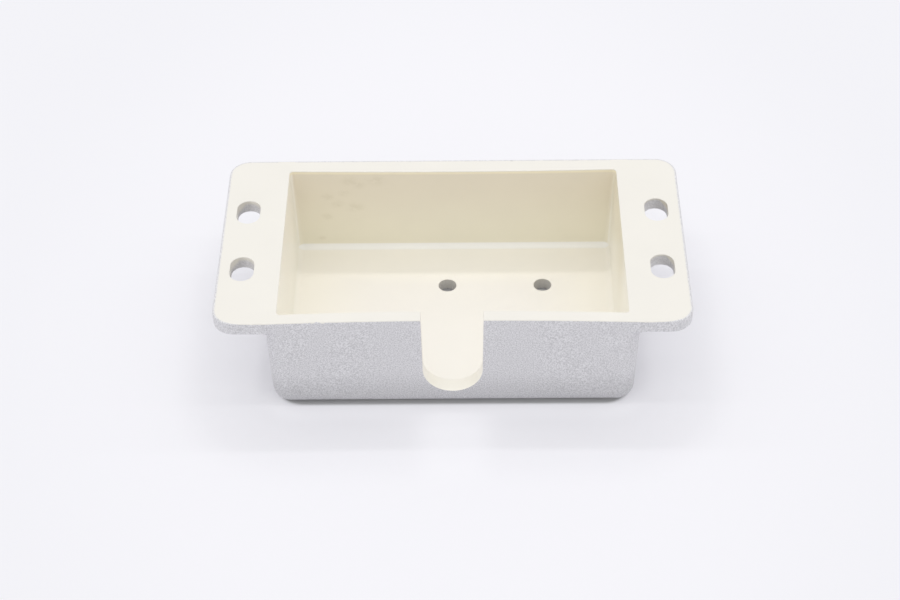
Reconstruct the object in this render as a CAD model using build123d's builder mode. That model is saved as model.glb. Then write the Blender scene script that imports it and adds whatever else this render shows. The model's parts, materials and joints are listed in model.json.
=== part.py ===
"""Injection moulded plastic housing: an open tray with two slotted mounting ears.

One piece of plastic.  X runs from ear to ear, Y from front to back, Z up.  The
origin is on the underside, below the middle of the flange.
"""
from build123d import *
from math import cos, radians, sin, tan
import os

# Driving dimensions, in millimetres and degrees.
flange_length = 100.0
flange_width = 53.5
flange_thickness = 3.0
flange_corner_radius = 4.6
housing_height = 25.0

box_length = 78.6            # outside, just under the flange
box_corner_radius = 3.7
foot_radius = 3.5            # between the walls and the underside
foot_height = 4.0            # the walls are flat up to here, and may bow above
outer_draft = 1.7

opening_length = 73.2        # at the top face
mouth_corner_radius = 0.8
floor_corner_radius = 1.6
core_draft = 1.8             # of the end walls and the back wall, inside
front_rim = 2.9              # width of the top face in front of the opening
back_rim = 3.7               # and behind it
front_wall_foot = 3.6        # thickness of the front wall down at the floor
floor_thickness = 3.1
floor_fillet = 1.3
fillet_height = 1.5          # the same for the cavity, measured from its floor

front_bow = 0.8              # the notched front wall leans in at its middle
back_bow = 0.45

notch_width = 13.0           # at the top face
notch_draft = 0.7
notch_bottom = 4.45          # height of its lowest point
notch_x = -0.1

slot_width = 5.1
slot_length = 7.5
slot_spacing_x = 89.4        # from left slots to right slots
slot_spacing_y = 18.6        # from front slots to back slots
slots_middle = (-0.1, -0.27)

floor_hole_diameter = 4.0
floor_hole_spacing = 21.5
floor_hole_left_x = -1.4
floor_hole_y = 8.8

edge_bevel = 0.25            # along the rim, outside and inside
cut_clearance = 1.0          # how far the notch cut stands outside the plastic

# Heights, half sizes and leans that follow from them.
flange_underside = housing_height - flange_thickness
mouth_bottom = housing_height - edge_bevel
half_length = flange_length / 2
half_width = flange_width / 2
box_half_length = box_length / 2
opening_half_length = opening_length / 2
opening_front_y = -half_width + front_rim
opening_back_y = half_width - back_rim
box_lean = flange_underside * tan(radians(outer_draft))
foot_lean = (flange_underside - foot_height) * tan(radians(outer_draft))
core_lean = (mouth_bottom - floor_thickness) * tan(radians(core_draft))
fillet_lean = fillet_height * tan(radians(core_draft))
floor_front_y = -half_width + box_lean + front_wall_foot
floor_back_y = opening_back_y - core_lean

# The notch is a U: two leaning sides, tangent to the round at its bottom.
notch_lean = radians(notch_draft)
notch_depth = housing_height - notch_bottom
notch_radius = (notch_width / 2 - notch_depth * tan(notch_lean)) / (1 / cos(notch_lean) - tan(notch_lean))
notch_tangent_z = notch_bottom + notch_radius * (1 - sin(notch_lean))


def notch_side(side, z):
    """The point at height z on the left (-1) or right (+1) side of the notch."""
    half = notch_width / 2 - (housing_height - z) * tan(notch_lean)
    return (notch_x + side * half, z)


def wall_plan(half_x, front_y, back_y, front_sag, back_sag, corner_radius):
    """A rounded rectangle whose front and back sides bow inwards by their sags."""
    with BuildSketch() as plan:
        with BuildLine():
            if front_sag:
                ThreePointArc((-half_x, front_y), (0, front_y + front_sag), (half_x, front_y))
            else:
                Line((-half_x, front_y), (half_x, front_y))
            Line((half_x, front_y), (half_x, back_y))
            if back_sag:
                ThreePointArc((half_x, back_y), (0, back_y - back_sag), (-half_x, back_y))
            else:
                Line((half_x, back_y), (-half_x, back_y))
            Line((-half_x, back_y), (-half_x, front_y))
        make_face()
        fillet(plan.vertices(), corner_radius)
    return plan.sketch


def level_at(z):
    """A test for edges that lie flat at height z."""
    def test(edge):
        box = edge.bounding_box()
        return abs(box.min.Z - z) < 0.01 and abs(box.max.Z - z) < 0.01
    return test


with BuildPart() as core:
    # The core shapes the cavity.  It starts at the floor, with a round edge.
    with BuildSketch(Plane.XY.offset(floor_thickness)):
        with Locations((0, (floor_front_y + floor_back_y) / 2)):
            RectangleRounded(
                2 * (opening_half_length - core_lean), floor_back_y - floor_front_y, floor_corner_radius,
            )
    extrude(amount=fillet_height, taper=-core_draft)
    fillet(core.edges().filter_by(level_at(floor_thickness)), floor_fillet)

    # Above that it widens to the mouth, most of all at the front, and bows.
    with BuildSketch(Plane.XY.offset(floor_thickness + fillet_height)):
        add(wall_plan(
            opening_half_length - core_lean + fillet_lean,
            floor_front_y - fillet_lean, floor_back_y + fillet_lean,
            0, 0, floor_corner_radius + fillet_lean,
        ))
    with BuildSketch(Plane.XY.offset(mouth_bottom)):
        add(wall_plan(
            opening_half_length, opening_front_y, opening_back_y,
            front_bow, back_bow, mouth_corner_radius,
        ))
    with BuildSketch(Plane.XY.offset(housing_height)):
        add(wall_plan(
            opening_half_length + edge_bevel, opening_front_y - edge_bevel, opening_back_y + edge_bevel,
            front_bow, back_bow, mouth_corner_radius + edge_bevel,
        ))
    loft(ruled=True)

with BuildPart() as housing:
    # Foot of the tray: it leans out by the draft, and is rounded underneath.
    with BuildSketch(Plane.XY):
        RectangleRounded(
            2 * (box_half_length - box_lean), 2 * (half_width - box_lean), box_corner_radius,
        )
    extrude(amount=foot_height, taper=-outer_draft)
    fillet(housing.edges().filter_by(level_at(0)), foot_radius)

    # Walls of the tray: the same draft on up to the flange, where the front
    # wall bows inwards.
    with BuildSketch(Plane.XY.offset(foot_height)):
        add(wall_plan(
            box_half_length - foot_lean, -half_width + foot_lean, half_width - foot_lean,
            0, 0, box_corner_radius + box_lean - foot_lean,
        ))
    with BuildSketch(Plane.XY.offset(flange_underside)):
        add(wall_plan(box_half_length, -half_width, half_width, front_bow, 0, box_corner_radius))
    loft(ruled=True)

    # Flange: a plate flush with the long walls, whose ends stand out as ears.
    with BuildSketch(Plane.XY.offset(flange_underside)) as plate:
        with BuildLine():
            ThreePointArc(
                (-box_half_length, -half_width),
                (0, -half_width + front_bow),
                (box_half_length, -half_width),
            )
            Polyline(
                (box_half_length, -half_width),
                (half_length, -half_width),
                (half_length, half_width),
                (-half_length, half_width),
                (-half_length, -half_width),
                (-box_half_length, -half_width),
            )
        make_face()
        ear_corners = plate.vertices().filter_by(lambda corner: abs(corner.X) > box_half_length + 1)
        fillet(ear_corners, flange_corner_radius)
    extrude(amount=flange_thickness)
    chamfer(housing.edges().filter_by(level_at(housing_height)), edge_bevel)

    # Cavity, with a small bevel round its mouth.
    add(core.part, mode=Mode.SUBTRACT)

    # Cable notch through the front wall.
    with BuildSketch(Plane.XZ.offset(half_width + cut_clearance)):
        with BuildLine():
            Polyline(
                notch_side(-1, notch_tangent_z),
                notch_side(-1, housing_height + cut_clearance),
                notch_side(1, housing_height + cut_clearance),
                notch_side(1, notch_tangent_z),
            )
            ThreePointArc(
                notch_side(-1, notch_tangent_z),
                (notch_x, notch_bottom),
                notch_side(1, notch_tangent_z),
            )
        make_face()
    extrude(amount=-(2 * cut_clearance + front_wall_foot + box_lean), mode=Mode.SUBTRACT)

    # Ear slots, long from front to back, for adjusting the tray on its screws.
    with BuildSketch(Plane.XY.offset(housing_height)):
        with Locations(slots_middle):
            with GridLocations(slot_spacing_x, slot_spacing_y, 2, 2):
                SlotOverall(slot_length, slot_width, rotation=90)
    extrude(amount=-flange_thickness, mode=Mode.SUBTRACT)

    # Screw holes in the floor.
    with Locations(
        (floor_hole_left_x, floor_hole_y, floor_thickness),
        (floor_hole_left_x + floor_hole_spacing, floor_hole_y, floor_thickness),
    ):
        Hole(floor_hole_diameter / 2)

housing.part.label = "housing"
os.makedirs("parts", exist_ok=True)
export_step(housing.part, "parts/housing.step")
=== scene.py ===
# %% [markdown]
# This lesson dresses an open plastic tray with two mounting ears. The real
# object is one injection moulding in cream plastic. Its outside was sprayed
# with silver-grey paint afterwards, while the top face, the inside and the
# cable notch were left bare. First comes the frame: the engineering model that
# everything here has to fit.

# %% Load the frame
import bmesh
import bpy
import json
import math
from mathutils import Matrix, Vector

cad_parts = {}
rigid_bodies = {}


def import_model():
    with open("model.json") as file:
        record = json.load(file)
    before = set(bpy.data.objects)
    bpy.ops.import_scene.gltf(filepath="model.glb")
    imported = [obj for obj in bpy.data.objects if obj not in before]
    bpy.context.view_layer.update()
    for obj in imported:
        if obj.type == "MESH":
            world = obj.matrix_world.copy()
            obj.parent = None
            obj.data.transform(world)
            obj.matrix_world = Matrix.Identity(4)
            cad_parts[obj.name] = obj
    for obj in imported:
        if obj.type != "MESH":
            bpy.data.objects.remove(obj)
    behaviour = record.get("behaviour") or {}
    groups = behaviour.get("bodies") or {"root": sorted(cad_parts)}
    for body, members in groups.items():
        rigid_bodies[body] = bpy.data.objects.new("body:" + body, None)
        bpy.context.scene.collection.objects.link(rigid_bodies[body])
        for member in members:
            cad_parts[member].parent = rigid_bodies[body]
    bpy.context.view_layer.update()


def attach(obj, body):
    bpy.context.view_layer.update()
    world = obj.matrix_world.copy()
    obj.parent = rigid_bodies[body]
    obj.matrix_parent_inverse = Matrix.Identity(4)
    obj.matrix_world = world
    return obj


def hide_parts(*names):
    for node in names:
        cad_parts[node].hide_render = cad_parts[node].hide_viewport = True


for leftover in list(bpy.data.objects):
    bpy.data.objects.remove(leftover)
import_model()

# %% [markdown]
# The sizes of the moulding come next, in metres. They are the sizes of the
# frame, so that the dressed tray and the engineering model are the same tray.
# Every length is written in millimetres times mm, which is easier to read.

# %% Sizes of the moulding
mm = 0.001
flange_length = 100 * mm
flange_width = 53.5 * mm
flange_thickness = 3 * mm
flange_corner = 4.6 * mm
tray_height = 25 * mm
tray_length = 78.6 * mm
tray_corner = 3.7 * mm
foot_radius = 3.5 * mm
outer_draft = math.tan(math.radians(1.7))
core_draft = math.tan(math.radians(1.8))
mouth_length = 73.2 * mm
mouth_corner = 0.8 * mm
floor_corner = 1.6 * mm
front_rim = 2.9 * mm
back_rim = 3.7 * mm
front_wall_foot = 3.6 * mm
floor_thickness = 3.1 * mm
floor_fillet = 1.3 * mm
front_bow = 0.8 * mm
back_bow = 0.45 * mm
notch_width = 13 * mm
notch_bottom = 4.45 * mm
notch_x = -0.1 * mm
notch_lean = math.radians(0.7)
slot_width = 5.1 * mm
slot_length = 7.5 * mm
slot_xs = (-44.8 * mm, 44.6 * mm)
slot_ys = (-9.57 * mm, 9.03 * mm)
hole_radius = 2 * mm
hole_places = [(-1.4 * mm, 8.8 * mm), (20.1 * mm, 8.8 * mm)]
edge_round = 0.3 * mm

flange_underside = tray_height - flange_thickness
half_x = tray_length / 2
half_y = flange_width / 2
outer_lean = flange_underside * outer_draft
core_lean = (tray_height - floor_thickness) * core_draft
print("the tray leans in by", round(outer_lean / mm, 2), "mm a side down to its foot")

# %% [markdown]
# Every shape below is made the way it would be by hand: add a primitive, go
# into edit mode, choose some of it, and use an operator on what is chosen. A
# hand picks with the mouse; a script picks by place. These helpers do the
# picking, add a block, and carve one object with another. A length below a
# hair, a ten-thousandth of a millimetre, counts as nothing.

# %% Helpers for modelling
hair = 1e-7


def choose(obj):
    """Makes obj the only chosen object."""
    bpy.ops.object.select_all(action="DESELECT")
    bpy.context.view_layer.objects.active = obj
    obj.select_set(True)


def start_edit(obj):
    """Chooses the object and goes into edit mode."""
    choose(obj)
    bpy.ops.object.mode_set(mode="EDIT")


def end_edit():
    """Goes back to object mode."""
    bpy.ops.object.mode_set(mode="OBJECT")


def pick(kind, test):
    """Selects the vertices (VERT), edges (EDGE) or faces (FACE) that pass the test."""
    bpy.ops.mesh.select_all(action="DESELECT")
    bpy.ops.mesh.select_mode(type=kind)
    data = bpy.context.object.data
    mesh = bmesh.from_edit_mesh(data)
    parts = {"VERT": mesh.verts, "EDGE": mesh.edges, "FACE": mesh.faces}[kind]
    chosen = [part for part in parts if test(part)]
    for part in chosen:
        part.select_set(True)
    mesh.select_flush_mode()
    bmesh.update_edit_mesh(data)
    return len(chosen)


def near(a, b, within=0.02 * mm):
    """True for two numbers that are as good as the same."""
    return abs(a - b) < within


def at_height(edge, z):
    """True for an edge that lies flat at this height."""
    return all(near(v.co.z, z) for v in edge.verts)


def is_upright(edge):
    """True for an edge that runs up a wall."""
    a, b = (v.co for v in edge.verts)
    return abs(a.z - b.z) > 0.8 * (a - b).length


def is_crease(edge, degrees=30):
    """True for an edge at which two faces meet at more than this angle."""
    return len(edge.link_faces) == 2 and edge.calc_face_angle() > math.radians(degrees)


def settle(obj, name):
    """Names a new primitive and moves its place and size into its mesh."""
    obj.name = name
    bpy.ops.object.transform_apply(location=True, rotation=True, scale=True)
    return obj


def add_block(name, low, high):
    """A block between two corners, with its place in its mesh."""
    bpy.ops.object.select_all(action="DESELECT")
    low, high = Vector(low), Vector(high)
    bpy.ops.mesh.primitive_cube_add(size=1, location=(low + high) / 2, scale=high - low)
    return settle(bpy.context.object, name)


def cut_across(axis, places):
    """Cuts the whole mesh in edit mode square to an axis (0, 1 or 2) at each place."""
    normal = [float(axis == k) for k in range(3)]
    for place in places:
        bpy.ops.mesh.select_all(action="SELECT")
        bpy.ops.mesh.bisect(
            plane_co=[place * part for part in normal], plane_no=normal, threshold=hair)


def bow_side(y, above, half_span, sag):
    """Bows the side at y, above a height: each column of vertices moves by its part of the sag."""
    mesh = bmesh.from_edit_mesh(bpy.context.object.data)
    columns = {round(v.co.x, 6) for v in mesh.verts if near(v.co.y, y)}
    for x in sorted(x for x in columns if abs(x) < half_span):
        step = sag * (1 - (x / half_span) ** 2)
        if abs(step) > hair and pick("VERT", lambda v: (
                near(v.co.x, x) and near(v.co.y, y) and v.co.z > above)):
            bpy.ops.transform.translate(value=(0, step, 0))


def carve(body, tool, operation="DIFFERENCE"):
    """Adds or takes away the tool's shape, and removes the tool."""
    modifier = body.modifiers.new("carve", "BOOLEAN")
    modifier.operation = operation
    modifier.solver = "EXACT"
    modifier.object = tool
    choose(body)
    bpy.ops.object.modifier_apply(modifier=modifier.name)
    bpy.data.objects.remove(tool)


def count(obj):
    """A line to print about a mesh."""
    return f"{obj.name}: {len(obj.data.vertices)} vertices, {len(obj.data.polygons)} faces"


# %% [markdown]
# The flange is the plate round the mouth, and its ends are the ears. It could
# be a curve that is extruded, but a block whose four upright edges are
# bevelled gives the same corners and keeps its faces as simple strips. The
# front long side isn't straight: thin walls shrink inwards as they cool, so
# columns are cut across it and each is moved in by its part of the bow. Last,
# the rim gets the small round edge that a mould and handling leave.

# %% Flange
columns = [half_x * k / 8 for k in range(-7, 8)]
beside_slots = [-14 * mm, -4.5 * mm, 4.5 * mm, 14 * mm]
corner_starts = [side * (half_x - tray_corner) for side in (-1, 1)]
ear_starts = [side * (half_x + 0.1 * mm) for side in (-1, 1)]
housing = add_block(
    "housing_shell",
    (-flange_length / 2, -half_y, flange_underside),
    (flange_length / 2, half_y, tray_height),
)
start_edit(housing)
pick("EDGE", is_upright)
bpy.ops.mesh.bevel(offset=flange_corner, segments=9, affect="EDGES")
cut_across(0, columns + corner_starts + ear_starts)
cut_across(1, beside_slots)
bow_side(-half_y, 0, half_x, front_bow)
pick("EDGE", lambda e: at_height(e, tray_height) and is_crease(e))
bpy.ops.mesh.bevel(offset=edge_round, segments=3, affect="EDGES")
pick("EDGE", lambda e: (
    at_height(e, flange_underside) and is_crease(e)
    and all(abs(v.co.x) > half_x for v in e.verts)))
bpy.ops.mesh.bevel(offset=edge_round, segments=3, affect="EDGES")
end_edit()
print(count(housing))

# %% [markdown]
# The tray below the flange is a block that tapers: a moulding needs draft, or
# it would stick in its mould. Its foot is scaled in by the draft, its front
# top edge takes the same bow as the flange, the upright corners are bevelled,
# and then the edge round the foot. Its top stands two hundredths of a
# millimetre inside the flange, so that the union never has to decide between
# two faces in the same place; merging close vertices then closes that step.

# %% Tray body
step_in = 0.02 * mm
tray = add_block(
    "tray_body",
    (-half_x, -half_y + step_in, 0),
    (half_x, half_y - step_in, flange_underside),
)
start_edit(tray)
cut_across(0, columns)
bow_side(-half_y + step_in, tray_height / 2, half_x, front_bow)
pick("VERT", lambda v: near(v.co.z, 0))
bpy.ops.transform.resize(
    value=((half_x - outer_lean) / half_x, (half_y - outer_lean) / half_y, 1),
    center_override=(0, 0, 0),
)
pick("EDGE", lambda e: is_upright(e) and all(abs(v.co.x) > half_x - 1 * mm for v in e.verts))
bpy.ops.mesh.bevel(offset=tray_corner, segments=8, affect="EDGES")
pick("EDGE", lambda e: at_height(e, 0) and is_crease(e))
bpy.ops.mesh.bevel(offset=foot_radius, segments=6, affect="EDGES")
end_edit()
carve(housing, tray, "UNION")
start_edit(housing)
bpy.ops.mesh.select_all(action="SELECT")
bpy.ops.mesh.remove_doubles(threshold=0.03 * mm)
end_edit()
print(count(housing))

# %% [markdown]
# The cavity is what the steel core of the mould leaves. The core is modelled
# as its own block, leaning in towards the floor, with the bow of the long
# walls at its mouth, small upright corners and a fillet round the floor, and
# is then subtracted. Modelling the core and not the cavity keeps its edges
# easy to pick.

# %% Cavity
past = 1 * mm
beside_holes = [4 * mm, 13.8 * mm]
core_rise = (tray_height + past - floor_thickness) / (tray_height - floor_thickness)
floor_half_x = mouth_length / 2 - core_lean
floor_front = -half_y + outer_lean + front_wall_foot
floor_back = half_y - back_rim - core_lean
mouth_front = -half_y + front_rim
mouth_back = half_y - back_rim
top_half_x = floor_half_x + core_lean * core_rise
top_front = floor_front + (mouth_front - floor_front) * core_rise
top_back = floor_back + (mouth_back - floor_back) * core_rise
core = add_block(
    "core",
    (-top_half_x, top_front, floor_thickness),
    (top_half_x, top_back, tray_height + past),
)
start_edit(core)
cut_across(0, [mouth_length / 2 * k / 7 for k in range(-6, 7)])
cut_across(1, beside_holes)
bow_side(top_front, tray_height, top_half_x, front_bow * core_rise)
bow_side(top_back, tray_height, top_half_x, -back_bow * core_rise)
middle = (top_front + top_back) / 2
pick("VERT", lambda v: near(v.co.z, floor_thickness))
bpy.ops.transform.resize(
    value=(floor_half_x / top_half_x, (floor_back - floor_front) / (top_back - top_front), 1),
    center_override=(0, middle, floor_thickness),
)
bpy.ops.transform.translate(value=(0, (floor_front + floor_back) / 2 - middle, 0))
pick("EDGE", lambda e: is_upright(e) and all(abs(v.co.x) > floor_half_x - 1 * mm for v in e.verts))
bpy.ops.mesh.bevel(offset=floor_corner, segments=6, affect="EDGES")
shrink = mouth_corner / floor_corner
corner_reach = 1.1 * floor_corner
for x, y in [(side * top_half_x, y) for side in (-1, 1) for y in (top_front, top_back)]:
    pick("VERT", lambda v: (
        v.co.z > tray_height and abs(v.co.x - x) < corner_reach and abs(v.co.y - y) < corner_reach))
    bpy.ops.transform.resize(value=(shrink, shrink, 1), center_override=(x, y, 0))
pick("EDGE", lambda e: at_height(e, floor_thickness) and is_crease(e))
bpy.ops.mesh.bevel(offset=floor_fillet, segments=5, affect="EDGES")
end_edit()
carve(housing, core)
print(count(housing))

# %% [markdown]
# The cable notch is a U through the front wall. Its tool starts as a lying
# cylinder. The upper half is cut away, and the flat top that is left is
# extruded upwards and widened a little, because a notch needs draft too.

# %% Cable notch
notch_depth = tray_height - notch_bottom
notch_radius = (notch_width / 2 - notch_depth * math.tan(notch_lean)) / (
    1 / math.cos(notch_lean) - math.tan(notch_lean))
tangent_z = notch_bottom + notch_radius * (1 - math.sin(notch_lean))
wall_middle = -half_y + 2 * mm
notch_tool_depth = 7 * mm
bpy.ops.object.select_all(action="DESELECT")
bpy.ops.mesh.primitive_cylinder_add(
    vertices=64, radius=notch_radius, depth=notch_tool_depth,
    location=(notch_x, wall_middle, notch_bottom + notch_radius), rotation=(math.pi / 2, 0, 0),
)
notch_tool = settle(bpy.context.object, "notch_tool")
start_edit(notch_tool)
bpy.ops.mesh.select_all(action="SELECT")
bpy.ops.mesh.bisect(
    plane_co=(0, 0, tangent_z), plane_no=(0, 0, 1), use_fill=True, clear_outer=True, threshold=hair)
pick("FACE", lambda f: f.normal.z > 0.9)
rise = tray_height + past - tangent_z
bpy.ops.mesh.extrude_region_move(TRANSFORM_OT_translate={"value": (0, 0, rise)})
tangent_half = notch_radius * math.cos(notch_lean)
bpy.ops.transform.resize(
    value=(1 + rise * math.tan(notch_lean) / tangent_half, 1, 1),
    center_override=(notch_x, 0, tray_height),
)
end_edit()
carve(housing, notch_tool)
print(count(housing))

# %% [markdown]
# Four slots in the ears and two round holes in the floor take screws. One slot
# tool is enough: a cylinder whose two halves are pulled apart, front to back,
# is a rounded slot. It is copied to its four places, each copy with a mesh of
# its own, the two hole tools join them, and one subtraction cuts them all.

# %% Slots and holes
bpy.ops.object.select_all(action="DESELECT")
bpy.ops.mesh.primitive_cylinder_add(
    vertices=42, radius=slot_width / 2, depth=2 * flange_thickness,
    location=(slot_xs[1], slot_ys[1], flange_underside + flange_thickness / 2),
)
slot_tool = settle(bpy.context.object, "slot_tool")
start_edit(slot_tool)
for side in (-1, 1):
    pick("VERT", lambda v: (v.co.y - slot_ys[1]) * side > 0)
    bpy.ops.transform.translate(value=(0, side * (slot_length - slot_width) / 2, 0))
end_edit()
to_left = slot_xs[0] - slot_xs[1]
to_front = slot_ys[0] - slot_ys[1]
for shift in [(to_left, 0, 0), (0, to_front, 0), (to_left, to_front, 0)]:
    choose(slot_tool)
    bpy.ops.object.duplicate(linked=False)
    bpy.ops.transform.translate(value=shift)
    bpy.ops.object.transform_apply(location=True)
for x, y in hole_places:
    bpy.ops.object.select_all(action="DESELECT")
    bpy.ops.mesh.primitive_cylinder_add(
        vertices=40, radius=hole_radius, depth=3 * floor_thickness,
        location=(x, y, floor_thickness / 2),
    )
    settle(bpy.context.object, "hole_tool")
bpy.ops.object.select_all(action="DESELECT")
for obj in bpy.data.objects:
    obj.select_set(obj.name.startswith(("slot_tool", "hole_tool")))
bpy.context.view_layer.objects.active = slot_tool
bpy.ops.object.join()
carve(housing, slot_tool)
print(count(housing))

# %% [markdown]
# No edge of a moulding is knife sharp, and a rounded edge catches a thin line
# of light that makes it read as plastic. The rim of the mouth, the notch, the
# slots and the holes are rounded by one bevel on the edges that are creased.
# The edges of the flange were rounded before, and the crease under the ears
# stays sharp, as in the mould.

# %% Rounded edges
rim_round = 0.13 * mm
slack = 0.2 * mm


def wants_round(edge):
    """True for the rims of the mouth, the notch, the slots and the holes."""
    if not is_crease(edge, 35):
        return False
    a, b = (v.co for v in edge.verts)
    c = (a + b) / 2
    in_mouth = abs(c.x) < half_x - 1 * mm and at_height(edge, tray_height)
    across_notch = abs(c.x - notch_x) < notch_width / 2 + slack
    in_notch = across_notch and c.y < floor_front + 0.5 * mm and c.z > notch_bottom - slack / 2
    in_ear = any(
        abs(c.x - x) < (slot_width + slack) / 2 and abs(c.y - y) < (slot_length + slack) / 2
        for x in slot_xs for y in slot_ys)
    in_floor = c.z < floor_thickness + slack / 2 and any(
        math.hypot(c.x - x, c.y - y) < hole_radius + slack / 2 for x, y in hole_places)
    return (in_mouth or in_notch or in_ear or in_floor) and not (in_ear and is_upright(edge))


start_edit(housing)
bpy.ops.mesh.select_all(action="SELECT")
bpy.ops.mesh.remove_doubles(threshold=0.001 * mm)
rims = pick("EDGE", wants_round)
bpy.ops.mesh.bevel(offset=rim_round, segments=2, affect="EDGES", clamp_overlap=False)
bpy.ops.mesh.select_all(action="SELECT")
bpy.ops.mesh.normals_make_consistent(inside=False)
end_edit()
print(rims, "edges rounded;", count(housing))

# %% [markdown]
# Shading comes next. Flat faces that touch a rounded edge would look dented if
# every corner had the plain average of its faces' normals. Smoothing by angle
# keeps the creases under the ears, and weighting the normals by face area
# makes the big faces look flat and lets only the rounded edges turn.

# %% Smooth shading
choose(housing)
bpy.ops.object.shade_smooth_by_angle(angle=math.radians(40))
weights = housing.modifiers.new("weights", "WEIGHTED_NORMAL")
weights.mode = "FACE_AREA"
weights.keep_sharp = True
bpy.ops.object.modifier_apply(modifier=weights.name)
print(count(housing))

# %% [markdown]
# The plastic is cream, and the paint is a silver-grey spray over it. Both are
# built from nodes, which are small machines that are wired together: one gives
# a place on the surface, others turn it into noise, masks and colours. These
# helpers add a node, wire what is given to it, and hand back its result. The
# first ones work on numbers. A mask is a number from 0 to 1 that says how much
# of something there is at a place.

# %% Node helpers for numbers
def feed(tree, socket, value):
    """Wires the socket to another socket, or stores a plain value in it."""
    if isinstance(value, bpy.types.NodeSocket):
        tree.links.new(value, socket)
    else:
        socket.default_value = value


def calc(tree, operation, *values):
    """One step of arithmetic on sockets or plain numbers."""
    node = tree.nodes.new("ShaderNodeMath")
    node.operation = operation
    for socket, value in zip(node.inputs, values):
        feed(tree, socket, value)
    return node.outputs[0]


def times(tree, first, *others):
    """The product of all that is given. Of masks, it is 1 only where each is 1."""
    for other in others:
        first = calc(tree, "MULTIPLY", first, other)
    return first


def plus(tree, base, mask, amount):
    """The base, with the amount on top of it where the mask is 1."""
    return calc(tree, "MULTIPLY_ADD", mask, amount, base)


def apart(tree, value, middle):
    """How far the value lies from the middle, on either side of it."""
    return calc(tree, "ABSOLUTE", calc(tree, "SUBTRACT", value, middle))


def past_line(tree, value, line):
    """How far the value lies past the line, and 0 before it."""
    return calc(tree, "MAXIMUM", calc(tree, "SUBTRACT", value, line), 0.0)


def length_of(tree, first, second):
    """The length of a flat vector with these two sides."""
    first_squared = calc(tree, "POWER", first, 2.0)
    return calc(tree, "SQRT", calc(tree, "ADD", first_squared, calc(tree, "POWER", second, 2.0)))


def fade(tree, value, start, end):
    """0 where the value is at start, 1 where it is at end, and smooth between them."""
    node = tree.nodes.new("ShaderNodeMapRange")
    node.interpolation_type = "SMOOTHSTEP"
    for name, given in (("Value", value), ("From Min", start), ("From Max", end)):
        feed(tree, node.inputs[name], given)
    return node.outputs["Result"]


def between(tree, value, low, high, edge):
    """1 where the value lies from low to high, falling to 0 over the edge's width outside."""
    return times(tree, fade(tree, value, low - edge, low), fade(tree, value, high + edge, high))


print("helpers for numbers are ready")

# %% [markdown]
# The other helpers work on colours, noise and whole trees. Noise is always
# given by the size of its blobs in metres, measured on the object, so that a
# grain stays the same grain on every face. A node group is a tree that is
# built once and placed in any material.

# %% Node helpers for colours and groups
def noise(tree, vector, size, detail=2.0, roughness=0.5):
    """Blobs of about this size: a number that wanders about a half."""
    node = tree.nodes.new("ShaderNodeTexNoise")
    settings = {"Vector": vector, "Scale": 1 / size, "Detail": detail, "Roughness": roughness}
    for name, given in settings.items():
        feed(tree, node.inputs[name], given)
    return node.outputs["Fac"]


def blend(tree, factor, first, second):
    """The first colour where the factor is 0 and the second where it is 1."""
    node = tree.nodes.new("ShaderNodeMix")
    node.data_type = "RGBA"
    for index, given in ((0, factor), (6, first), (7, second)):
        feed(tree, node.inputs[index], given)
    return node.outputs[2]


def dim(tree, color, amount):
    """The colour times a number."""
    node = tree.nodes.new("ShaderNodeVectorMath")
    node.operation = "SCALE"
    feed(tree, node.inputs[0], color)
    feed(tree, node.inputs["Scale"], amount)
    return node.outputs[0]


def split(tree, vector):
    """The three parts of a vector."""
    node = tree.nodes.new("ShaderNodeSeparateXYZ")
    feed(tree, node.inputs[0], vector)
    return node.outputs["X"], node.outputs["Y"], node.outputs["Z"]


def new_group(name, outputs):
    """A node group with the input Vector, and outputs given as {name: kind}."""
    group = bpy.data.node_groups.new(name, "ShaderNodeTree")
    group.interface.new_socket("Vector", in_out="INPUT", socket_type="NodeSocketVector")
    for socket, kind in outputs.items():
        group.interface.new_socket(socket, in_out="OUTPUT", socket_type=kind)
    start = group.nodes.new("NodeGroupInput")
    end = group.nodes.new("NodeGroupOutput")
    return group, start.outputs["Vector"], end


def use_group(tree, group, vector):
    """Places the group in a tree and gives its outputs."""
    node = tree.nodes.new("ShaderNodeGroup")
    node.node_tree = group
    feed(tree, node.inputs["Vector"], vector)
    return node.outputs


finish_outputs = {
    "Color": "NodeSocketColor",
    "Roughness": "NodeSocketFloat",
    "Height": "NodeSocketFloat",
}
print("a finish gives", ", ".join(finish_outputs))

# %% [markdown]
# The bare plastic is an even cream on top. Inside the tray its colour holds
# painted light and shade: the floor is painted paler at its ends and where the
# back wall shades it, the walls are painted yellower and, towards their top,
# darker with shade, and a painted highlight runs as a pale line along the foot
# of the back wall. All of that is one node group, because two materials show
# this plastic. A painted map could hold it too, but masks cut from the place on
# the object stay sharp at any size. The masks come first. Each range says where
# one starts and where it is full.

# %% Parts of the cavity
below_top = (tray_height - 0.08 * mm, tray_height - 0.22 * mm)
wall_rise = (5 * mm, 23 * mm)
back_wall_y = (20.8 * mm, 21.3 * mm)
back_wall_z = (3.8 * mm, 4.2 * mm)
fillet_y = (20.9 * mm, 21.4 * mm)
fillet_z = (4.2 * mm, 3.9 * mm)
end_wall = (36.0 * mm, 36.35 * mm)
shaded_rim_rise = (24.0 * mm, 24.5 * mm)
front_foot_y = (-21.5 * mm, -23.5 * mm)
front_foot_z = (10 * mm, 6 * mm)
lit_x = (16 * mm, 33 * mm)
lit_y = (8 * mm, 14 * mm)
rim_shade_strength = 0.9

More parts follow.
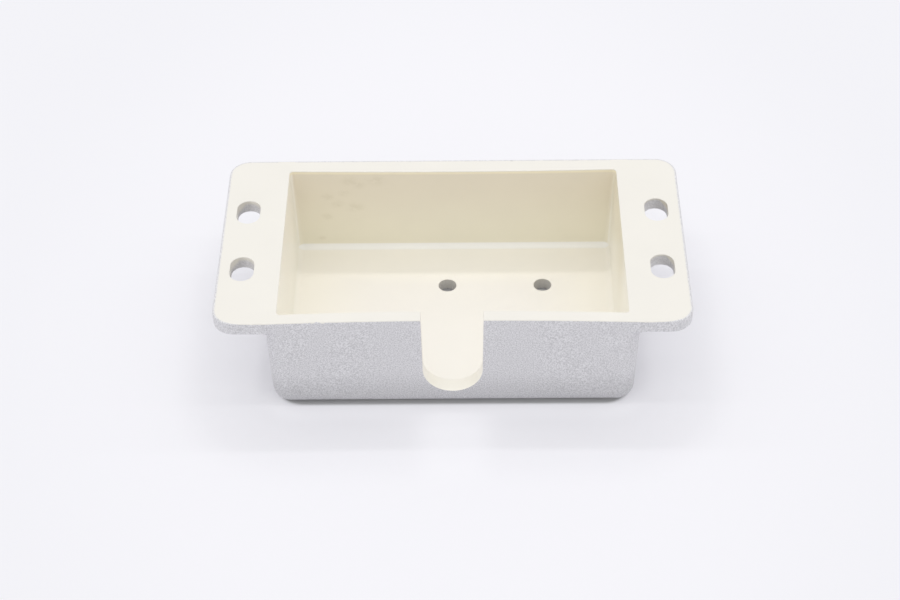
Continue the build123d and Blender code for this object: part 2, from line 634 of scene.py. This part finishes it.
bare_plastic, place, result = new_group("bare_plastic", finish_outputs)
tree = bare_plastic
x, y, z = split(tree, place)
from_middle = calc(tree, "ABSOLUTE", x)
inside = fade(tree, z, *below_top)
upper = fade(tree, z, *wall_rise)
on_back = times(tree, fade(tree, y, *back_wall_y), fade(tree, z, *back_wall_z))
in_fillet_highlight = times(tree, fade(tree, y, *fillet_y), fade(tree, z, *fillet_z))
# Painted shade: a tan band at the top of the back wall.
at_shaded_tan_rim = times(tree, on_back, fade(tree, z, *shaded_rim_rise), rim_shade_strength)
low_in_front = times(tree, fade(tree, y, *front_foot_y), fade(tree, z, *front_foot_z))
# The end walls lean in, so the lean is added back before the mask is cut.
below_rim = calc(tree, "SUBTRACT", tray_height, z)
on_end = fade(tree, plus(tree, from_middle, below_rim, core_draft), *end_wall)
# Painted light: the floor is paler at its ends and off the lamp's light.
off_light = calc(tree, "MAXIMUM", fade(tree, from_middle, *lit_x), fade(tree, y, *lit_y))
print("masks for the cavity:", len(tree.nodes), "nodes")

# %% [markdown]
# The colours of those parts are laid over each other, from the floor and the
# walls to the small things. They are light and shade painted into the colour:
# the two end walls differ a little in painted shade, and the edge of the mouth
# above the back wall is a painted shaded tan.

# %% Colours of the cavity
# Painted light and shade: lit and shaded floor colours, shaded walls.
floor_lit = (0.935, 0.908, 0.857, 1)
floor_off_light = (0.990, 0.960, 0.880, 1)
end_low = (0.985, 0.960, 0.875, 1)
left_end_top_shaded = (0.950, 0.905, 0.812, 1)
right_end_top_shaded = (0.855, 0.800, 0.655, 1)
end_top_in_front = (0.985, 0.955, 0.865, 1)
back_low_shaded = (0.910, 0.868, 0.720, 1)
back_top_shaded = (0.850, 0.782, 0.645, 1)
# A painted highlight: the pale line along the foot of the back wall.
fillet_painted_highlight = (1.0, 0.995, 0.960, 1)
front_low = (0.945, 0.915, 0.835, 1)
# Painted shade: the tan band along the top of the back wall.
mouth_shaded_tan = (0.965, 0.890, 0.690, 1)
left_to_right = (-10 * mm, 10 * mm)
middle_to_front = (0, -14 * mm)

end_top = blend(tree, fade(tree, x, *left_to_right), left_end_top_shaded, right_end_top_shaded)
end_top = blend(tree, fade(tree, y, *middle_to_front), end_top, end_top_in_front)
color = blend(tree, off_light, floor_lit, floor_off_light)
color = blend(tree, on_back, color, blend(tree, upper, back_low_shaded, back_top_shaded))
color = blend(tree, on_end, color, blend(tree, upper, end_low, end_top))
color = blend(tree, in_fillet_highlight, color, fillet_painted_highlight)
color = blend(tree, low_in_front, color, front_low)
color = blend(tree, at_shaded_tan_rim, color, mouth_shaded_tan)
print("colours for the cavity:", len(tree.nodes), "nodes")

# %% [markdown]
# The back wall carries a few faint brownish smudges, mostly on its left. Each
# is given by its place along the wall, its height and its radius. They are
# wider than high, and noise breaks up their outlines.

# %% Smudges on the back wall
smudges = (
    (-23.3 * mm, 22.3 * mm, 1.9 * mm),
    (-21.6 * mm, 21.4 * mm, 1.8 * mm),
    (-17.4 * mm, 22.6 * mm, 2.2 * mm),
    (-24.7 * mm, 18.8 * mm, 1.3 * mm),
    (-28.6 * mm, 17.9 * mm, 1.5 * mm),
    (-26.3 * mm, 15.6 * mm, 1.5 * mm),
    (-22.4 * mm, 14.8 * mm, 2.0 * mm),
    (-29.0 * mm, 12.0 * mm, 1.4 * mm),
    (-30.4 * mm, 5.8 * mm, 1.0 * mm),
)
smudge_brown = (0.62, 0.56, 0.41, 1)
smudge_strength = 0.26
smudge_squeeze = math.sqrt(0.45)
smudge_breaks = (0.30, 0.62)

smudged = 0.0
for smudge_x, smudge_z, radius in smudges:
    along = times(tree, apart(tree, x, smudge_x), smudge_squeeze)
    away = length_of(tree, along, apart(tree, z, smudge_z))
    smudged = calc(tree, "MAXIMUM", smudged, fade(tree, away, radius, 0.0))
ragged = fade(tree, noise(tree, place, 1.3 * mm, detail=3), *smudge_breaks)
smudged = times(tree, smudged, ragged, on_back, smudge_strength)
color = blend(tree, smudged, color, smudge_brown)
print(len(smudges), "smudges")

# %% [markdown]
# Above the mouth the plain cream of the top takes over. Flow in the mould left
# faint clouds in the colour, and the surface has the fine grain of an eroded
# mould. Both go into the height as well, which a bump will use later.

# %% Bare plastic
top_cream = (0.896, 0.869, 0.808, 1)
plastic_tone = 0.98
cloud_tone = 0.04
plastic_roughness = 0.30
grain_roughness = 0.12
cloud_height = 3.0

clouds = noise(tree, place, 9 * mm, detail=3)
grain = noise(tree, place, 0.3 * mm, detail=2, roughness=0.7)
color = blend(tree, inside, top_cream, color)
tone = plus(tree, plastic_tone, clouds, cloud_tone)
feed(tree, result.inputs["Color"], dim(tree, color, tone))
feed(tree, result.inputs["Roughness"], plus(tree, plastic_roughness, grain, grain_roughness))
feed(tree, result.inputs["Height"], plus(tree, grain, clouds, cloud_height))
print(bare_plastic.name, "has", len(tree.nodes), "nodes")

# %% [markdown]
# The spray paint dried as grains a quarter of a millimetre across, some lighter
# and some darker, with a rough feel. It is painted a little darker down at the
# foot, as shade.

# %% Silver spray
grain_dark = (0.56, 0.555, 0.575, 1)
grain_light = (0.88, 0.875, 0.90, 1)
grain_contrast = (0.28, 0.72)
spray_tone = 0.992
patch_tone = 0.02
# Painted shade: the spray is darkened towards the foot.
foot_painted_shade = -0.19
foot_z = (11 * mm, 2 * mm)
spray_roughness = 0.35
grains_roughness = 0.3

silver_spray, place, result = new_group("silver_spray", finish_outputs)
tree = silver_spray
grains = noise(tree, place, 0.28 * mm, detail=2, roughness=0.7)
patches = noise(tree, place, 6 * mm, detail=2)
at_foot_shade = fade(tree, split(tree, place)[2], *foot_z)
tone = plus(tree, plus(tree, spray_tone, patches, patch_tone), at_foot_shade, foot_painted_shade)
color = blend(tree, fade(tree, grains, *grain_contrast), grain_dark, grain_light)
feed(tree, result.inputs["Color"], dim(tree, color, tone))
feed(tree, result.inputs["Roughness"], plus(tree, spray_roughness, grains, grains_roughness))
feed(tree, result.inputs["Height"], grains)
print(silver_spray.name, "has", len(tree.nodes), "nodes")

# %% [markdown]
# The first material is the plastic alone, for the cavity and the notch. A bump
# node turns the height of the grain into a slight unevenness of the light.

# %% Cream material
bump_depth = 0.004 * mm


def new_material(name):
    """A material with its tree, its shader and the place on the object."""
    material = bpy.data.materials.new(name)
    material.use_nodes = True
    tree = material.node_tree
    place = tree.nodes.new("ShaderNodeTexCoord").outputs["Object"]
    return material, tree, tree.nodes["Principled BSDF"], place


def add_bump(tree, shader, height):
    """Tilts the light on the shader by the height."""
    bump = tree.nodes.new("ShaderNodeBump")
    bump.inputs["Strength"].default_value = 1.0
    bump.inputs["Distance"].default_value = bump_depth
    feed(tree, bump.inputs["Height"], height)
    feed(tree, shader.inputs["Normal"], bump.outputs["Normal"])


cream, tree, shader, place = new_material("bare_cream_plastic")
plastic = use_group(tree, bare_plastic, place)
feed(tree, shader.inputs["Base Color"], plastic["Color"])
feed(tree, shader.inputs["Roughness"], plastic["Roughness"])
add_bump(tree, shader, plastic["Height"])
print(cream.name, "has", len(tree.nodes), "nodes")

# %% [markdown]
# The second material is the plastic with the spray over it. The question is
# where the paint ends. A number called reach answers it: how far a point lies
# below the top face, less how far it lies inside the outline of the flange. So
# it grows down the outer walls, and falls below nought on the top face. The
# outline has round corners, and at the front it follows the bow.

# %% How far a point lies from the top
deepest_inside = -1.2 * mm
front_band = (-21 * mm, -24 * mm)

painted, tree, shader, place = new_material("silver_spray_over_cream")
x, y, z = split(tree, place)
from_middle = calc(tree, "ABSOLUTE", x)
near_front = fade(tree, y, *front_band)
along_bow = calc(tree, "POWER", calc(tree, "DIVIDE", x, half_x), 2.0)
bow = calc(tree, "MAXIMUM", plus(tree, front_bow, along_bow, -front_bow), 0.0)
from_axis = plus(tree, calc(tree, "ABSOLUTE", y), near_front, bow)
corner_x = past_line(tree, from_middle, flange_length / 2 - flange_corner)
corner_y = past_line(tree, from_axis, half_y - flange_corner)
outline = calc(tree, "SUBTRACT", length_of(tree, corner_x, corner_y), flange_corner)
outline = calc(tree, "MAXIMUM", outline, deepest_inside)
reach = calc(tree, "ADD", calc(tree, "SUBTRACT", tray_height, z), outline)
print("reach takes", len(tree.nodes), "nodes")

# %% [markdown]
# The slots and the screw holes need masks of their own, because less of the
# spray got into them. The masks are boxes round the slots and holes, limited
# in height too, so that they miss the flange's rims and the tray's floor.

# %% Masks for the slots and holes
slots_x = (41.9 * mm, 47.5 * mm)
slots_z = (22.2 * mm, 24.8 * mm)
outer_x = (43.8 * mm, 45.8 * mm)
end_x = (45.4 * mm, 47.0 * mm)
holes_z = (0.1 * mm, 0.5 * mm)
mask_edge = 0.3 * mm
mask_gap = 0.1 * mm

slot_row = apart(tree, y, (slot_ys[0] + slot_ys[1]) / 2)
slot_reach = (slot_ys[1] - slot_ys[0] + slot_length) / 2
in_slot = times(
    tree,
    between(tree, from_middle, *slots_x, mask_edge),
    fade(tree, slot_row, slot_reach + mask_edge, slot_reach),
    between(tree, z, *slots_z, mask_edge / 2),
)
slot_outer = times(tree, in_slot, fade(tree, from_middle, *outer_x))
slot_end = times(tree, in_slot, fade(tree, from_middle, *end_x))

left_hole, right_hole = hole_places
holes_reach = (right_hole[0] - left_hole[0]) / 2 + hole_radius
holes_row = apart(tree, x, (left_hole[0] + right_hole[0]) / 2)
off_holes = apart(tree, y, left_hole[1])
in_hole = times(
    tree,
    fade(tree, holes_row, holes_reach + mask_edge, holes_reach + mask_gap),
    fade(tree, off_holes, hole_radius + mask_edge, hole_radius + mask_gap),
    fade(tree, z, *holes_z),
    fade(tree, z, floor_thickness + mask_edge, floor_thickness + mask_gap),
)
print("with the slots and holes,", len(tree.nodes), "nodes")

# %% [markdown]
# Paint covers a point when its reach is beyond the paint line. At the front
# the line lies just below the rim. On the other three sides and round the
# corners the paint laps over the rounded rim and ends softly. In the slots it
# thins out towards the rim, most of all at the ear's end. The line wavers by
# some noise, and at the front left it is ragged for a few millimetres. The
# screw holes are nearly bare. A drop below is how much lower the line lies
# somewhere, and a softness is how far the paint's edge spreads.

# %% Where the paint ends
lap = -0.45 * mm
front_x = (47 * mm, 43 * mm)
front_drop = 0.55 * mm
left_half = (1 * mm, -1 * mm)
right_slot_drop = -0.45 * mm
left_slot_drop = 0.5 * mm
slot_end_drop = 1.1 * mm
ragged_x = -28 * mm
ragged_reach = (2.8 * mm, 1.4 * mm)
even_waver = 0.25 * mm
ragged_waver = 2.6 * mm
softness = 0.22 * mm
front_softness = -0.14 * mm
right_slot_softness = 0.10 * mm
left_slot_softness = 0.35 * mm
holes_bare = -0.75

front = times(tree, near_front, fade(tree, from_middle, *front_x))
left_ear = fade(tree, x, *left_half)
slot_drop = plus(tree, right_slot_drop, left_ear, left_slot_drop)
paint_line = plus(tree, lap, front, front_drop)
paint_line = plus(tree, paint_line, in_slot, slot_drop)
paint_line = plus(tree, paint_line, slot_end, slot_end_drop)
rough_part = fade(tree, apart(tree, x, ragged_x), *ragged_reach)
waver = plus(tree, even_waver, times(tree, rough_part, front), ragged_waver)
wander = calc(tree, "SUBTRACT", noise(tree, place, 1.3 * mm, detail=3), 0.5)
paint_line = plus(tree, paint_line, waver, wander)
slot_softness = plus(tree, right_slot_softness, left_ear, left_slot_softness)
soft = plus(tree, softness, front, front_softness)
soft = plus(tree, soft, in_slot, slot_softness)
beyond_line = calc(tree, "SUBTRACT", reach, paint_line)
covered = fade(tree, beyond_line, times(tree, soft, -1.0), soft)
covered = times(tree, covered, plus(tree, 1.0, in_hole, holes_bare))
print("the paint laps", round(-lap / mm, 2), "mm over the rim")

# %% [markdown]
# The colour is the plastic's or the spray's. Walls inside the slots and holes
# are painted darker as shade, those of the slots with a breath of the cream
# below, and the back rim has a few faint grey marks, given by their place and
# half their length.

# %% Painted material
slot_wall = (0.60, 0.56, 0.46, 1)
slot_wall_strength = 0.2
# Painted shade: the walls of the slots and holes are darkened.
slot_shade = -0.17
hole_shade = -0.18
mark_grey = (0.42, 0.42, 0.42, 1)
mark_strength = 0.35
mark_breaks = (0.40, 0.60)
mark_y = (half_y - 1.0 * mm, half_y - 0.3 * mm)
mark_z = (flange_underside, 24 * mm)
spray_height = 6.0
back_marks = ((-24.4 * mm, 1.0 * mm), (13.4 * mm, 0.6 * mm), (26.9 * mm, 2.0 * mm))

plastic = use_group(tree, bare_plastic, place)
spray = use_group(tree, silver_spray, place)
wall_shade = plus(tree, plus(tree, 1.0, slot_outer, slot_shade), in_hole, hole_shade)
color = dim(tree, blend(tree, covered, plastic["Color"], spray["Color"]), wall_shade)
color = blend(tree, times(tree, in_slot, slot_wall_strength), color, slot_wall)
marked = 0.0
for mark_x, half_length in back_marks:
    mark = fade(tree, apart(tree, x, mark_x), half_length, 0.3 * half_length)
    marked = calc(tree, "MAXIMUM", marked, mark)
at_back = fade(tree, y, *mark_y)
at_flange = fade(tree, z, *mark_z)
broken = fade(tree, noise(tree, place, 0.9 * mm, detail=2), *mark_breaks)
marked = times(tree, marked, at_back, at_flange, broken, mark_strength)
feed(tree, shader.inputs["Base Color"], blend(tree, marked, color, mark_grey))

rough = tree.nodes.new("ShaderNodeMix")
for index, given in ((0, covered), (2, plastic["Roughness"]), (3, spray["Roughness"])):
    feed(tree, rough.inputs[index], given)
feed(tree, shader.inputs["Roughness"], rough.outputs[0])
spray_grain = times(tree, spray["Height"], spray_height)
add_bump(tree, shader, plus(tree, plastic["Height"], spray_grain, covered))
print(painted.name, "has", len(tree.nodes), "nodes")

# %% [markdown]
# Each face now gets its material. The cavity and the notch are bare. All other
# faces carry the material with the spray in it, whose nodes keep the top bare.
# Then the shell is handed over: it rides on the one body and takes the place
# of the plain engineering model.

# %% Which faces get the spray
def is_bare(face):
    """True for the faces of the cavity and of the notch."""
    c, n = face.center, face.normal
    in_mouth = abs(c.x) < mouth_length / 2 + slack and mouth_front - slack < c.y < mouth_back + slack
    in_cavity = in_mouth and c.z > floor_thickness - 0.1 * mm
    across_notch = abs(c.x - notch_x) < notch_width / 2 + slack and c.y < floor_front + 1 * mm
    up_notch = notch_bottom - slack < c.z < tray_height - 0.01 * mm
    faces_out = n.y < -0.9
    return in_cavity or (across_notch and up_notch and not faces_out)


housing.data.materials.clear()
housing.data.materials.append(cream)
housing.data.materials.append(painted)
for face in housing.data.polygons:
    face.material_index = 0 if is_bare(face) else 1
print("bare faces:", sum(face.material_index == 0 for face in housing.data.polygons))
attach(housing, "root")
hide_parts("housing")

# %% [markdown]
# The tray stands on a sheet of smooth pale paper. Its place is measured from
# the outline of the tray, with round corners, so that its shading follows the
# tray. Right under the foot a painted shadow darkens the paper.

# %% Table sheet
sheet_side = 6
paper_white = (0.88, 0.875, 0.915, 1)
# Painted shadow: grey on the paper right under the tray's foot.
painted_shadow_grey = (0.60, 0.60, 0.605, 1)
outline_corner = 7 * mm
under_foot = (-0.55 * mm, -1.6 * mm)
under_middle = (-12 * mm, -6 * mm)
paper_tone = 0.995
fibre_tone = 0.01
paper_roughness = 0.8

bpy.ops.object.select_all(action="DESELECT")
bpy.ops.mesh.primitive_plane_add(size=sheet_side, location=(0, 0, 0))
table = settle(bpy.context.object, "table")
paper, tree, shader, place = new_material("table_paper")
x, y = split(tree, place)[:2]
beyond_x = past_line(tree, calc(tree, "ABSOLUTE", x), half_x - outline_corner)
beyond_y = past_line(tree, calc(tree, "ABSOLUTE", y), half_y - outline_corner)
from_tray = calc(tree, "SUBTRACT", length_of(tree, beyond_x, beyond_y), outline_corner)
under = fade(tree, from_tray, *under_foot)
in_painted_shadow = times(tree, under, fade(tree, from_tray, *under_middle))
fibres = noise(tree, place, 40 * mm, detail=3)
paper_color = blend(tree, in_painted_shadow, paper_white, painted_shadow_grey)
paper_color = dim(tree, paper_color, plus(tree, paper_tone, fibres, fibre_tone))
feed(tree, shader.inputs["Base Color"], paper_color)
shader.inputs["Roughness"].default_value = paper_roughness
table.data.materials.append(paper)
print("table", [round(side, 2) for side in table.dimensions], "m")

# %% [markdown]
# Paper that is lit from all round looks brighter to the eye than its shadows
# say, so what a camera sees of it is lifted by painted light, a glow of its
# own: more away from the tray than near it, which leaves a painted shade close
# round the tray, and more in front of the notch, a painted pool of light where
# light falls through. Right under the foot nothing is lifted, and far out the
# painted glow is a touch dimmer. Glossy and transmitted rays see the same lifted
# paper, and the light that it throws on the tray isn't changed.

# %% How the table shows
near_glow = (0.965, 0.960, 1.0, 1)
far_glow = (0.905, 0.905, 0.945, 1)
glow_reach = (80 * mm, 180 * mm)
glow_squeeze = 1.5
before_y = (-20 * mm, -28 * mm)
close_reach = (5 * mm, 1.5 * mm)
away_reach = (14 * mm, 24 * mm)
patch_x = (-3 * mm, 3 * mm)
patch_y = (-43 * mm, -34 * mm)
patch_edge = 8 * mm
lift_everywhere = 0.29
lift_before = -0.01
# Painted shade: less lift close round the tray.
lift_close = -0.11
lift_close_before = 0.26
lift_away = 0.28
lift_at_notch = 0.28

glow = tree.nodes.new("ShaderNodeEmission")
far_out = length_of(tree, times(tree, x, glow_squeeze), y)
glow_color = blend(tree, fade(tree, far_out, *glow_reach), near_glow, far_glow)
feed(tree, glow.inputs["Color"], glow_color)

before = fade(tree, y, *before_y)
close = fade(tree, from_tray, *close_reach)
away = fade(tree, from_tray, *away_reach)
# Painted light: a pool of light on the paper in front of the notch.
notch_painted_light = times(
    tree,
    between(tree, x, *patch_x, patch_edge),
    between(tree, y, *patch_y, patch_edge),
)
lift = plus(tree, lift_everywhere, before, lift_before)
lift = plus(tree, lift, close, plus(tree, lift_close, before, lift_close_before))
lift = plus(tree, lift, away, lift_away)
lift = plus(tree, lift, notch_painted_light, lift_at_notch)

rays = tree.nodes.new("ShaderNodeLightPath").outputs
mirrored = calc(tree, "MAXIMUM", rays["Is Glossy Ray"], rays["Is Transmission Ray"])
seen = calc(tree, "MAXIMUM", rays["Is Camera Ray"], mirrored)
mixer = tree.nodes.new("ShaderNodeMixShader")
feed(tree, mixer.inputs[0], times(tree, seen, lift, calc(tree, "SUBTRACT", 1.0, under)))
feed(tree, mixer.inputs[1], shader.outputs["BSDF"])
feed(tree, mixer.inputs[2], glow.outputs["Emission"])
feed(tree, tree.nodes["Material Output"].inputs["Surface"], mixer.outputs["Shader"])
print(paper.name, "has", len(tree.nodes), "nodes")

# %% [markdown]
# The light is that of a small white light tent: white all round, and two long
# narrow lamps along X, one nearly overhead and one high behind the tray. They
# cast the faint soft-edged shadows on the tray's floor and before its foot.
# Each lamp is given by its share of the light on the table, and its power in
# watts is worked out from that. All shares together make a plain level of
# about 1, at which a colour looks as it is written.

# %% Light
light_all_round = 0.765
world = bpy.data.worlds.new("light_tent")
bpy.context.scene.world = world
world.use_nodes = True
background = world.node_tree.nodes["Background"]
background.inputs["Color"].default_value = (1, 1, 1, 1)
background.inputs["Strength"].default_value = light_all_round


def add_strip(name, y, z, share, length=2.4, width=0.045):
    """A long narrow lamp along X that adds its share to the light on the table."""
    data = bpy.data.lights.new(name, "AREA")
    data.shape = "RECTANGLE"
    data.size = length
    data.size_y = width
    strip = bpy.data.objects.new(name, data)
    bpy.context.scene.collection.objects.link(strip)
    strip.location = (0, y, z)
    toward_table = Vector((0, -y, -z))
    strip.rotation_euler = toward_table.to_track_quat("-Z", "Y").to_euler()
    steps = 120
    seen_from_table = 0
    for k in range(steps):
        spot = Vector(((k + 0.5) / steps * length - length / 2, y, z))
        on_table = z / spot.length
        off_lamp = spot.dot(-toward_table.normalized()) / spot.length
        seen_from_table += on_table * off_lamp / spot.length_squared * length * width / steps
    data.energy = share * math.pi ** 2 * length * width / seen_from_table
    print(name, "gives", round(data.energy, 2), "W")


add_strip("strip_overhead", y=-0.07, z=0.80, share=0.11)
add_strip("strip_behind", y=0.376, z=0.806, share=0.14)

# %% [markdown]
# The camera looks down at the notched front from 43 degrees above the table,
# through a short telephoto lens, with the tray in the middle of the view. Its
# turn is made of three: a tilt up from looking straight down, and a very small
# turn and roll, because nobody sets a camera up perfectly square.

# %% Camera
camera_place = (3.457 * mm, -321.925 * mm, 305.745 * mm)
turn_degrees = 0.7541
tilt_degrees = 47.1112
roll_degrees = -0.8982
lens_in_mm = 79.09
sensor_in_mm = 36
nearest_seen = 0.01
farthest_seen = 10

camera_data = bpy.data.cameras.new("camera")
camera = bpy.data.objects.new("camera", camera_data)
bpy.context.scene.collection.objects.link(camera)
camera_data.sensor_width = sensor_in_mm
camera_data.lens = lens_in_mm
camera_data.clip_start = nearest_seen
camera_data.clip_end = farthest_seen
camera.matrix_world = (
    Matrix.Translation(camera_place)
    @ Matrix.Rotation(math.radians(turn_degrees), 4, "Z")
    @ Matrix.Rotation(math.radians(tilt_degrees), 4, "X")
    @ Matrix.Rotation(math.radians(roll_degrees), 4, "Z")
)
bpy.context.scene.camera = camera
bpy.context.scene.view_settings.view_transform = "Standard"
print("camera is", round(camera.matrix_world.translation.length, 3), "m from the tray")
